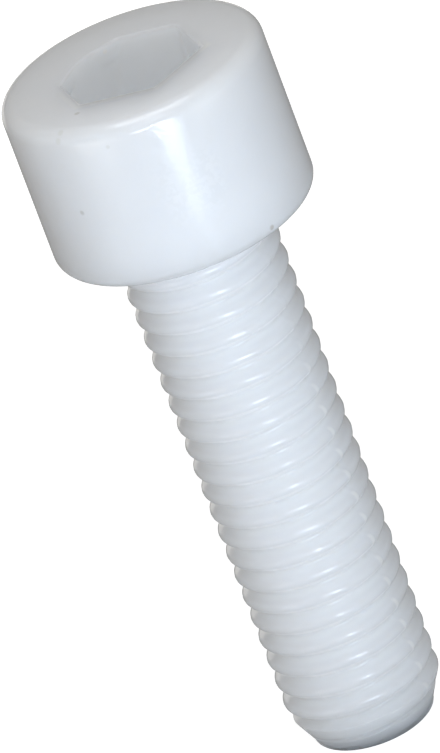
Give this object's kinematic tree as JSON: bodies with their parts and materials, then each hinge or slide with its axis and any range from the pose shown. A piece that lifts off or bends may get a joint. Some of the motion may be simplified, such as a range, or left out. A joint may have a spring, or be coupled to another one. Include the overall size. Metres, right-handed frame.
{
  "type": "socket head cap screw",
  "caption": "Moulded nylon socket head cap screw with a round head, a hexagon socket and a thread that runs up to the head.",
  "frame": {"origin": "on the screw's axis, at the bearing face under the head", "axes": "+Z along the screw's axis, out of the head's socket; the thread runs down -Z to the flat end that the screw stands on"},
  "size_m": [0.0162, 0.0162, 0.0457],
  "materials": {
    "nylon": "satin"
  },
  "bodies": {
    "root": {"screw": "nylon"}
  },
  "joints": []
}
